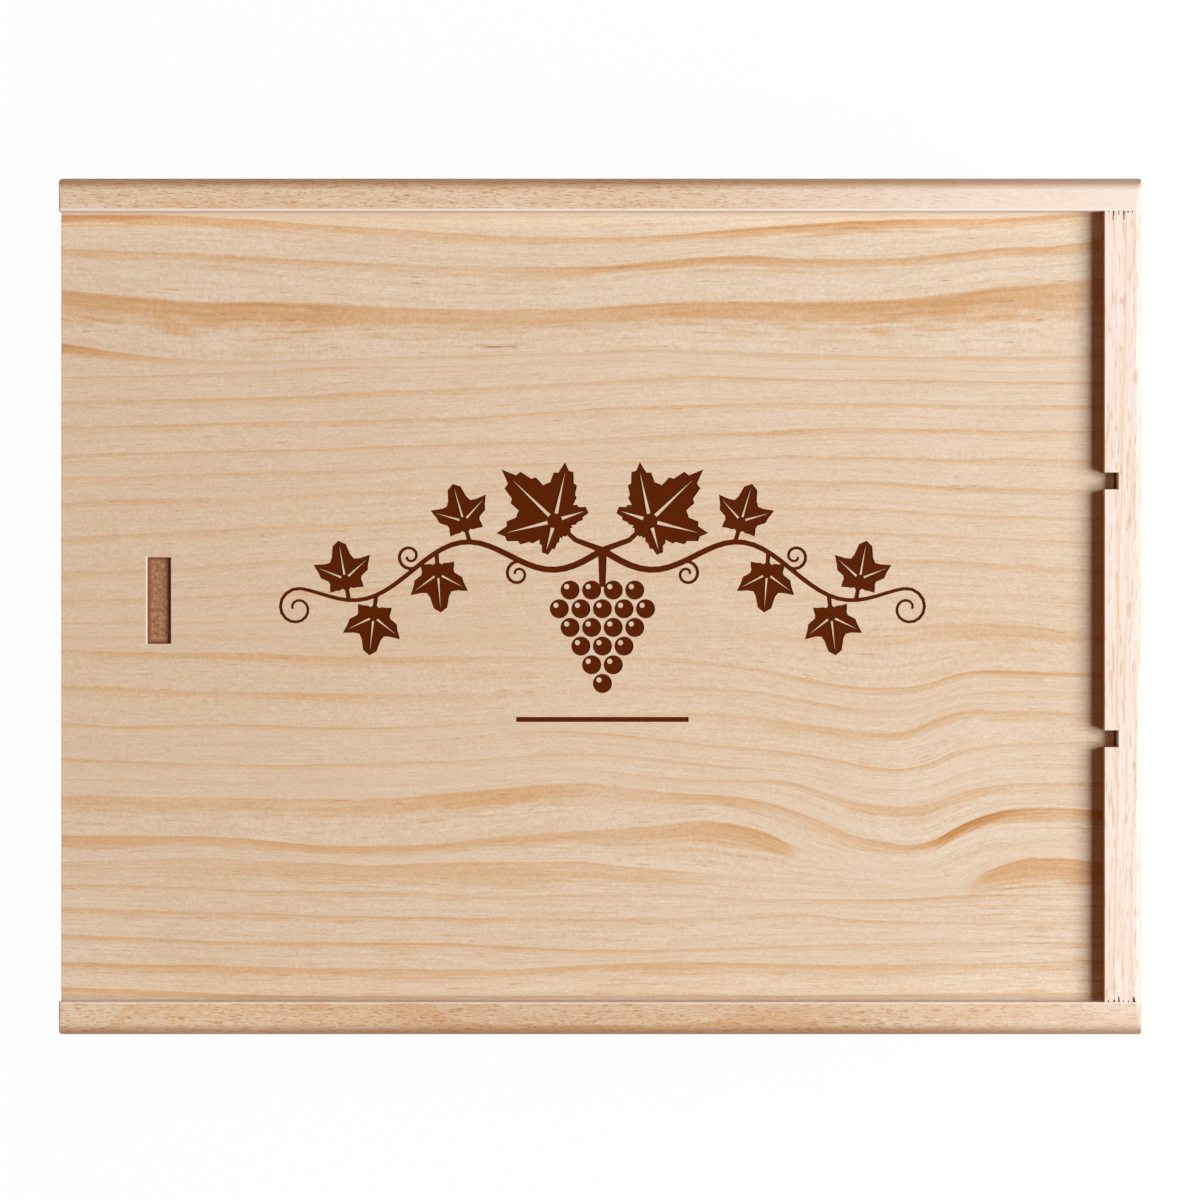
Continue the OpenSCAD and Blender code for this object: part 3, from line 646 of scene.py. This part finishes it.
def lid_pine(look):
    """Flat-sawn pine with its growth lines drawn one by one, burnt in the engraving and raw in the slot."""
    material = new_material("sanded flat-sawn pine, lid")
    tree = material.node_tree
    place, point = place_in_mm(tree)
    # A slight wander, up to half of this to each side, keeps the drawn lines from looking ruled.
    wander_mm = 1.5
    long_way = add(tree, "VectorMath", [point, (1 / 34, 1 / 9, 1 / 9)], "MULTIPLY")
    wander = add(tree, "TexNoise", {"Vector": long_way, "Scale": 1.0, "Detail": 3.0})
    widths = (0.0, wander_mm, 0.0)
    shifted = add(tree, "VectorMath", [wander.outputs["Color"], widths, (0.0, -wander_mm / 2, 0.0)],
                  "MULTIPLY_ADD")
    bent = add(tree, "VectorMath", [point, shifted])
    across, depths, count = lid_rings(tree, bent)
    x, y, z = add(tree, "SeparateXYZ", [bent]).outputs
    over_rings = add(tree, "Math", [count, -RING_MM], "MULTIPLY")
    flow = add(tree, "CombineXYZ", [x, over_rings, z])
    tears = speckle(tree, flow, (14, 0.8, 0.8), 4.0, 8.3)
    ragged = add(tree, "MapRange", [tears, 0.3, 0.7, 0.6, 1.6])
    late = lid_late_wood(tree, across, depths, ragged)
    ahead = add(tree, "MapRange", [x, *DEEPER_AHEAD, 0.0, DEEPER_MOST])
    away = add(tree, "Math", [y], "ABSOLUTE")
    central = add(tree, "MapRange", [away, DEEPER_MIDDLE, 0.0, 0.0, DEEPER_MOST],
                  interpolation_type="SMOOTHSTEP")
    cornered = inside(tree, point, *DEEPER_CORNER)
    deeper = add(tree, "Math", [cornered, CORNER_SHARE, ahead], "MULTIPLY_ADD")
    ripe = add(tree, "Math", [deeper, central])
    colour, height = sanded_pine(tree, flow, late, ripe, look)
    layers = []
    for middle, (half_long, half_wide) in RESIN_STREAKS:
        near = add(tree, "VectorMath", [bent, (*middle, LID_FACE_MM)], "SUBTRACT")
        scaled = add(tree, "VectorMath", [near, (1 / half_long, 1 / half_wide, 0.2)], "MULTIPLY")
        far = add(tree, "VectorMath", [scaled], "LENGTH")
        core = add(tree, "MapRange", [far.outputs["Value"], 1.0, 0.2])
        torn = speckle(tree, bent, (5, 0.4, 0.4), 3.0, 2.2)
        shreds = add(tree, "MapRange", [torn, 0.46, 0.66])
        streak = add(tree, "Math", [core, shreds], "MULTIPLY", use_clamp=True)
        layers.append((streak, look["resin"]))
    # The cutter left the slot raw and darker, its floor partly with painted shade for the recess, and browner
    # round its rim with painted shade where floor meets walls.
    raw = speckle(tree, point, (0.9, 1.3, 0.9), 3.0, 4.4)
    rough_sawn = add(tree, "MapRange", [raw, 0.36, 0.64])
    machined_and_shaded = lay(tree, look["slot_corner_shade"], (inside(tree, point, *SLOT_FLOOR, 1.2), look["slot"]),
                   (rough_sawn, look["slot_dark"]))
    charred = speckle(tree, point, (1.6, 0.5, 0.5), 3.0, 9.1)
    burn = lay(tree, look["burnt"], (charred, look["burnt_light"]))
    engraved = inside(tree, point, *ENGRAVED)
    # The lid's long edges are paler with painted light that lifts the shade at the joints, and the end grain
    # at its two ends is darker.
    painted_joint_light = add(tree, "MapRange", [away, *PAINTED_JOINT_LIGHT_MM, 0.0, PAINTED_JOINT_LIGHT_SHARE])
    layers += [
        (painted_joint_light, look["painted_joint_light"]),
        (end_grain(tree, place.outputs["Normal"]), look["end_grain"], "MULTIPLY"),
        (inside(tree, point, *SLOT_HIGHLIGHT_STRIP), look["slot_highlight"]),
        (inside(tree, point, *THUMB_SLOT), machined_and_shaded),
        (engraved, burn),
    ]
    sheen = add(tree, "MapRange", [engraved, 0.0, 1.0, 0.3, 0.03])
    finish_wood(tree, lay(tree, colour, *layers), height, 0.6, sheen)
    return material


def drawn_steel(dull):
    """Bright drawn wire, its grey a little dulled in fine grains."""
    material = new_material("drawn steel wire")
    tree = material.node_tree
    grit = add(tree, "TexNoise", {"Vector": place_in_mm(tree)[1], "Scale": 4.0, "Detail": 3.0})
    colour = lay(tree, [*dull, 1], (grit, STEEL_BRIGHT))
    rough = add(tree, "MapRange", [grit, 0.0, 1.0, 0.28, 0.5])
    bump = add(tree, "Bump", {"Height": grit, "Strength": 0.2, "Distance": 0.02 * MM})
    surface = add(tree, "BsdfPrincipled", {"Base Color": colour, "Metallic": 1.0, "Roughness": rough,
                                           "Normal": bump})
    add(tree, "OutputMaterial", {"Surface": surface})
    return material


def chosen(look, **colours):
    """A look with colours that the user chose, as linear red, green and blue."""
    return {**look, **{name: [*colour, 1] for name, colour in colours.items()}}


# ---- pieces

LENGTH = {"min": 0.0, "unit": "LENGTH", "precision": 5}
SHARE = {"min": 0.0, "max": 1.0, "subtype": "FACTOR"}
LIGHT = {"min": 0.0, "max": 2.0, "subtype": "FACTOR"}
ANGLE = {"subtype": "ANGLE"}


def number(name, description, default, **kind):
    """A number that the user can change; kind says what it measures."""
    return bpy.props.FloatProperty(name=name, description=description, default=default, **kind)


def colour_choice(name, description, code):
    """A colour that the user can change. Its default is a hex code."""
    return bpy.props.FloatVectorProperty(name=name, description=description, default=linear(code)[:3],
                                         min=0.0, max=1.0, size=3, subtype="COLOR")


class WineBoxStage(bpy.types.PropertyGroup):
    """Light, floor and backdrop."""
    key_share: number("Key light", "Share of full light that the key light gives the lid", 0.93, **LIGHT)
    key_angle: number("Key angle", "Angle of the key light above the floor", math.radians(40.8), **ANGLE)
    key_turn: number("Key turn", "Direction of the key light from above, from the rear end",
                     math.radians(-3.5), **ANGLE)
    key_width: number("Key width", "Width of the key light, along the floor", 2.8, **LENGTH)
    key_tall: number("Key height", "Height of the key light", 2.4, **LENGTH)
    key_distance: number("Key distance", "Distance of the key light from the lid", 4.2, **LENGTH)
    ambient: bpy.props.FloatVectorProperty(
        name="Ambient", description="Warm light that pale wood throws on its own shadows",
        default=(0.10, 0.022, 0.0), size=3, subtype="COLOR")
    strip_share: number("Strip lights", "Light of the low strips at the front and the sides", 0.3, **LIGHT)
    floor_bounce: number("Floor bounce", "Share of light that the floor throws back on the sides", 0.35,
                         **SHARE)
    floor_white: number("Floor white", "Share of plain white in what the camera sees of the floor", 0.975,
                        **SHARE)


class WineBoxDetail(bpy.types.PropertyGroup):
    """Sanding and saw chips."""
    board_ease: number("Board edges", "Rounding of the boards' sharp edges", 0.35 * MM, **LENGTH)
    lid_ease: number("Lid edges", "Rounding of the lid's sharp edges", 0.25 * MM, **LENGTH)
    chip_depth: number("Chip depth", "Depth of the chips at the rear board's ends", 0.35 * MM, **LENGTH)


class WineBoxColours(bpy.types.PropertyGroup):
    """Colours of the wood, the burn and the brads."""
    lid_ground: colour_choice("Lid", "Early wood of the lid, between its lines", LID_LOOK["early"])
    lid_lines: colour_choice("Lid lines", "Late wood of the lid, in its lines", LID_LOOK["late"])
    burn: colour_choice("Burn", "The burnt ornament on the lid", LID_LOOK["burnt"])
    side_ground: colour_choice("Side boards", "Early wood of the side boards", SIDE_LOOK["early"])
    side_lines: colour_choice("Side board lines", "Late wood of the side boards", SIDE_LOOK["late"])
    end_ground: colour_choice("End boards", "Early wood of the end boards", END_LOOK["early"])
    end_lines: colour_choice("End board lines", "Late wood of the end boards", END_LOOK["late"])
    panel_ground: colour_choice("Panel", "Early wood of the panel and dividers", PANEL_LOOK["early"])
    panel_lines: colour_choice("Panel lines", "Late wood of the panel and dividers", PANEL_LOOK["late"])
    steel: colour_choice("Brads", "Drawn steel of the brads", STEEL)


class WINEBOX_OT_stage(bpy.types.Operator):
    """Floor, backdrop, lights and the camera straight above the box"""
    bl_idname = "winebox.stage"
    bl_label = "Stage"

    def execute(self, context):
        scene = context.scene
        values = scene.wine_box_stage
        scene.view_settings.view_transform = "Standard"

        camera = new_object("camera", bpy.data.cameras.new("camera"))
        camera.location = CAMERA_PLACE
        camera.data.angle = 2 * math.atan(VIEW_WIDTH_AT_TOP / 2 / (CAMERA_PLACE.z - CAD_BOX[1][2]))
        scene.camera = camera

        top = Vector((0, 0, CAD_BOX[1][2]))
        flat = math.cos(values.key_angle)
        towards = Vector((flat * math.cos(values.key_turn), flat * math.sin(values.key_turn),
                          math.sin(values.key_angle)))
        # Enough power that the lid gets its share of the light at which a colour looks as written.
        power = math.pi ** 2 * values.key_distance ** 2 * values.key_share / towards.z
        add_lamp("key light", top + towards * values.key_distance, top, values.key_width, values.key_tall,
                 power)
        # Three strips stand on the floor, no taller than the box, so they light its faces and not its top.
        tall = CAD_BOX[1][2] * 0.8
        middle = Vector((0, 0, tall / 2))
        for name, way, share in (("front strip", (-1, 0, 0), 1.0), ("left strip", (0, 1, 0), 0.6),
                                 ("right strip", (0, -1, 0), 0.5)):
            power = math.pi ** 2 * STRIP_DISTANCE ** 2 * values.strip_share * share
            add_lamp(name, middle + Vector(way) * STRIP_DISTANCE, middle, STRIP_WIDTH, tall, power)

        make_floor(values)
        make_backdrop(scene, values)
        return {"FINISHED"}


def add_lamp(name, place, target, width, height, power):
    """A soft light of a width and height at a place, facing a target."""
    lamp = bpy.data.lights.new(name, "AREA")
    lamp.shape = "RECTANGLE"
    lamp.size = width
    lamp.size_y = height
    lamp.energy = power
    holder = new_object(name, lamp)
    holder.location = place
    holder.rotation_euler = (place - target).to_track_quat("Z", "Y").to_euler()
    holder.visible_camera = False


def seen_directly(tree):
    """1 for rays from the camera, in a mirror or through glass, and 0 for light that bounces about."""
    path = add(tree, "LightPath")
    first = add(tree, "Math", [path.outputs["Is Camera Ray"], path.outputs["Is Glossy Ray"]], "MAXIMUM")
    return add(tree, "Math", [first, path.outputs["Is Transmission Ray"]], "MAXIMUM")


def make_floor(values):
    """A wide floor: nearly white where it is seen, with a faint shadow, and grey where it bounces light."""
    corners = [(x * FLOOR_HALF, y * FLOOR_HALF, 0) for x, y in ((-1, -1), (1, -1), (1, 1), (-1, 1))]
    mesh = bpy.data.meshes.new("floor")
    mesh.from_pydata(corners, [], [(0, 1, 2, 3)])
    floor = new_object("floor", mesh)
    material = new_material("matt white paper floor")
    tree = material.node_tree
    lit = add(tree, "BsdfDiffuse", {"Color": PAPER})
    white = add(tree, "Emission", {"Color": WHITE, "Strength": 1.0})
    shown = add(tree, "MixShader", [values.floor_white, lit, white])
    thrown = add(tree, "BsdfDiffuse", {"Color": [values.floor_bounce] * 3 + [1]})
    surface = add(tree, "MixShader", [seen_directly(tree), thrown, shown])
    add(tree, "OutputMaterial", {"Surface": surface})
    mesh.materials.append(material)


def make_backdrop(scene, values):
    """A world that looks white and lights the box with a weak warm glow."""
    world = bpy.data.worlds.new("white backdrop")
    world.use_nodes = True
    scene.world = world
    tree = world.node_tree
    tree.nodes.clear()
    glow = add(tree, "Background", {"Color": [*values.ambient, 1], "Strength": 1.0})
    white = add(tree, "Background", {"Color": WHITE, "Strength": 1.0})
    mixed = add(tree, "MixShader", [seen_directly(tree), glow, white])
    add(tree, "OutputWorld", {"Surface": mixed})


def dress_board(node, name, material, cut=None):
    """Stands a sanded copy in for a CAD board. cut, where given, works on it before it is shaded."""
    piece = merged_copy(node, name)
    ease_edges(piece, bpy.context.scene.wine_box_detail.board_ease)
    bake_modifiers(piece)
    if cut:
        cut(piece)
    shade_board(piece)
    hand_over(piece, "box", material, node)


def side_marks_and_painted_light(low, high):
    """The marks on a side board between its corners low and high, in metres, with painted shade on its
    rounded outer edge and a painted highlight along its inner edge.
    """
    low, high = low / MM, high / MM
    # edge is the colour of the painted shade on the rounded outer edge, and line the strength of the painted
    # highlight along the inner edge.
    if high.y > 0:
        edge, line, pale, pale_from, pale_soft, dusky = "#C6AE98", 0.85, 0.85, 10, 170.0, 0.15
        rounded, inner = (high.y - 4.2, high.y + PAST), (low.y - PAST, low.y + 0.7)
    else:
        edge, line, pale, pale_from, pale_soft, dusky = "#C8B6A8", 0.5, 0.45, 80, 130.0, 1.0
        rounded, inner = (low.y - PAST, low.y + 3.9), (high.y - 0.6, high.y + PAST)
    ahead, right = low.x - PAST, low.y - PAST
    behind, left, over = (value + PAST for value in high)
    return (
        # The paler rear half, and the middle of the board, dusky on the right one.
        ((pale_from, -FAR, -FAR), (FAR, FAR, FAR), pale_soft, pale, "#FFF6EC"),
        ((-120, -FAR, -FAR), (130, FAR, FAR), 60.0, dusky, "#F4EDE6", "MULTIPLY"),
        # The rounded outer edge, darkened with painted shade, and the pale line along the inner edge, a
        # painted highlight.
        ((ahead, rounded[0], high.z - 9), (behind, rounded[1], over), 2.4, 1.0, edge, "MULTIPLY"),
        ((ahead, inner[0], 95.2), (behind, inner[1], over), 0.1, line, "#FFF8EE"),
        # The rear end of the top edge, toned down with painted shade where the key light's highlight falls,
        # and the rear end's face.
        ((high.x - 1.5, right, high.z - 9), (behind, left, over), 0.8, 1.0, "#F0E8E2", "MULTIPLY"),
        ((high.x - 0.5, right, -PAST), (behind, left, high.z - 1.6), 0.5, 1.0, "#DEC8AC", "MULTIPLY"),
    )


class WINEBOX_OT_side_boards(bpy.types.Operator):
    """The two long side boards with their sanded top edges"""
    bl_idname = "winebox.side_boards"
    bl_label = "Side boards"

    def execute(self, context):
        colours = context.scene.wine_box_colours
        look = chosen(SIDE_LOOK, early=colours.side_ground, late=colours.side_lines)
        for side, pith in (("left", (-120.0, -60.0)), ("right", (140.0, -40.0))):
            node = f"side_board_{side}"
            pine = board_pine(f"sanded pine, {side} side", look, (0, 0, 0), pith, 3.4, 0.02,
                              side_marks_and_painted_light(*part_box(node)))
            dress_board(node, f"{side}_side_board_sanded", pine)
        return {"FINISHED"}


class WINEBOX_OT_end_boards(bpy.types.Operator):
    """The rear and front end boards, the rear one with saw chips at its ends"""
    bl_idname = "winebox.end_boards"
    bl_label = "End boards"

    def execute(self, context):
        colours = context.scene.wine_box_colours
        look = chosen(END_LOOK, early=colours.end_ground, late=colours.end_lines)
        across = (0, 0, math.radians(90))
        low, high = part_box("rear_board")
        inner, outer, top = low.x / MM, high.x / MM, high.z / MM
        ends = (low.y / MM, high.y / MM)
        # Painted shade in the chips' slits, with the dark joint line beside them, and a painted highlight of
        # pale torn wood round them.
        chip_shade_and_joint = [((inner + 0.6, end - PAST, top - 3), (outer - 1.9, end + PAST, top - 0.05), 0.05, 1.0,
                    CHIP_SHADE_AND_JOINT) for end in ends]
        # The pale torn wood is a painted highlight, standing for raised fibres that catch the light.
        torn = [((inner + 1.9, end - 3.6, top - 0.03), (inner + 7.3, end + 3.6, top + PAST), 0.6, 0.6,
                 "#FFFFFF") for end in ends]
        faces = [
            # The sawn face over the lid is browner than the sanded ones, partly for its sawing and partly as
            # painted shade on a face turned from the key light; the rounded outer edge is greyed with painted
            # shade where the key light's highlight falls; and the outer face is a little yellower than the
            # top edge.
            ((inner - PAST, -FAR, 94.9), (inner + 0.3, FAR, top - 0.2), 0.1, 0.9, "#C07A28"),
            ((outer - 2.0, -FAR, top - 9), (outer + PAST, FAR, top + PAST), 1.6, 1.0, "#E6E2E2", "MULTIPLY"),
            ((outer - 0.8, -FAR, -PAST), (outer + PAST, FAR, top - 1.4), 0.8, 1.0, "#EADAC2", "MULTIPLY"),
        ]
        pine = board_pine("sanded pale pine, rear end", look, across, (30.0, -150.0), 3.1, 0.015,
                          chip_shade_and_joint + faces + torn)
        depth = context.scene.wine_box_detail.chip_depth
        dress_board("rear_board", "rear_board_sanded", pine,
                    lambda board: cut_chips(board, low, high, depth))

        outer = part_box("front_board")[0].x / MM
        face = ((outer - PAST, -FAR, -PAST), (outer + 0.8, FAR, top + PAST), 0.8, 1.0, "#F4E5CE", "MULTIPLY")
        pine = board_pine("sanded pale pine, front end", look, across, (-80.0, -60.0), 3.6, 0.01, [face])
        dress_board("front_board", "front_board_sanded", pine)
        return {"FINISHED"}


# Saw chips as (distance from the rear board's inner face, width, length along the grain, drift), in mm.
LEFT_END_CHIPS = (
    (1.3, 0.6, 0.6, 0.0), (2.9, 0.62, 3.1, -0.3), (4.5, 0.5, 1.5, 0.0), (6.1, 0.66, 3.0, 0.05),
    (7.5, 0.8, 0.8, 0.0), (8.9, 0.7, 0.6, 0.0),
)
RIGHT_END_CHIPS = (
    (1.1, 0.7, 0.7, 0.0), (3.0, 1.1, 0.9, 0.0), (4.5, 0.7, 1.9, -0.05), (5.9, 0.6, 0.6, 0.0),
    (7.6, 0.6, 0.6, 0.0), (9.5, 1.3, 1.8, -0.3),
)


def cut_chips(board, low, high, depth):
    """Cuts the saw chips out of the rear board's ends. Each is a slit between two rectangles: a wide, deep
    one that stands in the joint, and a narrower, shallower one a chip's length away along the grain."""
    corners = []
    across = np.array([-0.5, 0.5, 0.4, -0.4])
    for chips, end, inwards in ((LEFT_END_CHIPS, high.y, -1), (RIGHT_END_CHIPS, low.y, 1)):
        offset, width, length, drift = np.array(chips).T[:, :, None] * MM
        middle = low.x + offset
        above = high.z + 0.4 * MM
        for x, y, wide, deep in ((middle, end - inwards * 0.5 * MM, width, depth),
                                 (middle + drift, end + inwards * length, width * 0.5, depth * 0.35)):
            heights = np.array([above, above, high.z - deep, high.z - deep])
            corners.append(np.stack(np.broadcast_arrays(x + wide * across, y, heights), -1))
    points = np.concatenate([np.concatenate(corners[i:i + 2], 1) for i in (0, 2)])
    start = np.arange(len(points))[:, None, None] * 8
    sides = np.array([[0, 1, 2, 3], [4, 5, 6, 7], [0, 1, 5, 4], [1, 2, 6, 5], [2, 3, 7, 6], [3, 0, 4, 7]])
    cutter = closed_object("chip cutter", points, start + sides)
    cut = board.modifiers.new("chips", "BOOLEAN")
    cut.object = cutter
    cut.operation = "DIFFERENCE"
    cut.solver = "EXACT"
    bake_modifiers(board)
    bpy.data.objects.remove(cutter)


class WINEBOX_OT_panel_and_dividers(bpy.types.Operator):
    """The bottom panel and the two dividers"""
    bl_idname = "winebox.panel_and_dividers"
    bl_label = "Bottom panel and dividers"

    def execute(self, context):
        colours = context.scene.wine_box_colours
        look = chosen(PANEL_LOOK, early=colours.panel_ground, late=colours.panel_lines)
        cuts = (("bottom_panel", (12.0, -55.0), 5.5), ("divider_left", (-70.0, -20.0), 4.2),
                ("divider_right", (60.0, -130.0), 4.6))
        for node, pith, ring in cuts:
            pine = board_pine(f"planed pine, {node.replace('_', ' ')}", look, (0, 0, 0), pith, ring, 0.012)
            dress_board(node, f"{node}_planed", pine)
        return {"FINISHED"}


class WINEBOX_OT_lid(bpy.types.Operator):
    """The sliding lid with its thumb slot and its burnt vine"""
    bl_idname = "winebox.lid"
    bl_label = "Sliding lid"

    def execute(self, context):
        colours = context.scene.wine_box_colours
        look = chosen(LID_LOOK, early=colours.lid_ground, late=colours.lid_lines, burnt=colours.burn)
        piece = merged_copy("sliding_lid", "sliding_lid_sanded", join_flats=False)
        low, high = ENGRAVED
        burnt = [[x * MM, y * MM, z * MM] for x, y, z in ((*low[:2], 94.0), (*high[:2], 95.0))]
        ease_edges(piece, context.scene.wine_box_detail.lid_ease, burnt)
        piece.data.shade_flat()
        hand_over(piece, "lid", lid_pine(look), "sliding_lid")
        return {"FINISHED"}


class WINEBOX_OT_brads(bpy.types.Operator):
    """The twelve steel brads that pin the corners"""
    bl_idname = "winebox.brads"
    bl_label = "Brads"

    def execute(self, context):
        steel = drawn_steel(context.scene.wine_box_colours.steel)
        for corner in ("front_left", "front_right", "rear_left", "rear_right"):
            node = f"brads_{corner}"
            piece = turned_brads(node, f"{node}_steel")
            hand_over(piece, "box", steel, node)
        return {"FINISHED"}


def turned_brads(node, name):
    """Three brads in a row. Each is its profile turned about its axis: a slightly domed head with a rounded
    rim, a short cone under it, the shank and a drawn point."""
    low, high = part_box(node)
    head = (high.x - low.x) / 2
    shank = head * 0.583
    length = high.y - low.y
    outer = 1 if high.y > 0 else -1
    top = high.y if outer > 0 else low.y
    # The rim's rounding, and how far the dome's edge lies below its middle.
    rim, dome = 0.12 * MM, 0.05 * MM
    profile = [(0, 0), (head * 0.4, 0.01 * MM), (head * 0.75, 0.04 * MM)]
    profile += [(head - rim * (1 - math.sin(a)), dome + rim * (1 - math.cos(a)))
                for a in np.linspace(0, np.pi / 2, 5)]
    profile += [(head, 0.4 * MM), (shank, 0.62 * MM), (shank, length - 2.2 * MM),
                (shank * 0.3, length - 0.3 * MM), (0, length)]
    radius, depth = np.array(profile).T
    turn = np.linspace(0, 2 * np.pi, 32, endpoint=False)
    heights = np.linspace(low.z + head, high.z - head, 3)
    shape = (3, len(radius), len(turn))
    x = np.broadcast_to((low.x + high.x) / 2 + radius[None, :, None] * np.cos(turn), shape)
    y = np.broadcast_to((top - outer * depth)[None, :, None], shape)
    z = heights[:, None, None] + radius[None, :, None] * np.sin(turn)
    return tubes(name, np.stack([x, y, z], axis=-1))


# ---- add-on

class WINEBOX_PT_sidebar(bpy.types.Panel):
    """Lists the steps that build the wine box"""
    bl_idname = "WINEBOX_PT_sidebar"
    bl_label = "Wine box"
    bl_space_type = "VIEW_3D"
    bl_region_type = "UI"
    bl_category = "Wine box"

    def draw(self, context):
        for step in STEPS:
            self.layout.operator(step.bl_idname)
        for group, kind in GROUPS.items():
            box = self.layout.box()
            for name in kind.__annotations__:
                box.prop(getattr(context.scene, group), name)


STEPS = (
    WINEBOX_OT_stage,
    WINEBOX_OT_side_boards,
    WINEBOX_OT_end_boards,
    WINEBOX_OT_panel_and_dividers,
    WINEBOX_OT_lid,
    WINEBOX_OT_brads,
)
GROUPS = {"wine_box_stage": WineBoxStage, "wine_box_detail": WineBoxDetail,
          "wine_box_colours": WineBoxColours}
CLASSES = (*GROUPS.values(), *STEPS, WINEBOX_PT_sidebar)


def register():
    for item in CLASSES:
        bpy.utils.register_class(item)
    for name, kind in GROUPS.items():
        setattr(bpy.types.Scene, name, bpy.props.PointerProperty(type=kind))


def unregister():
    for name in GROUPS:
        delattr(bpy.types.Scene, name)
    for item in reversed(CLASSES):
        bpy.utils.unregister_class(item)


def main():
    """Builds the whole box, one step after another."""
    register()
    bpy.ops.winebox.stage()
    bpy.ops.winebox.side_boards()
    bpy.ops.winebox.end_boards()
    bpy.ops.winebox.panel_and_dividers()
    bpy.ops.winebox.lid()
    bpy.ops.winebox.brads()


if __name__ == "__main__":
    main()
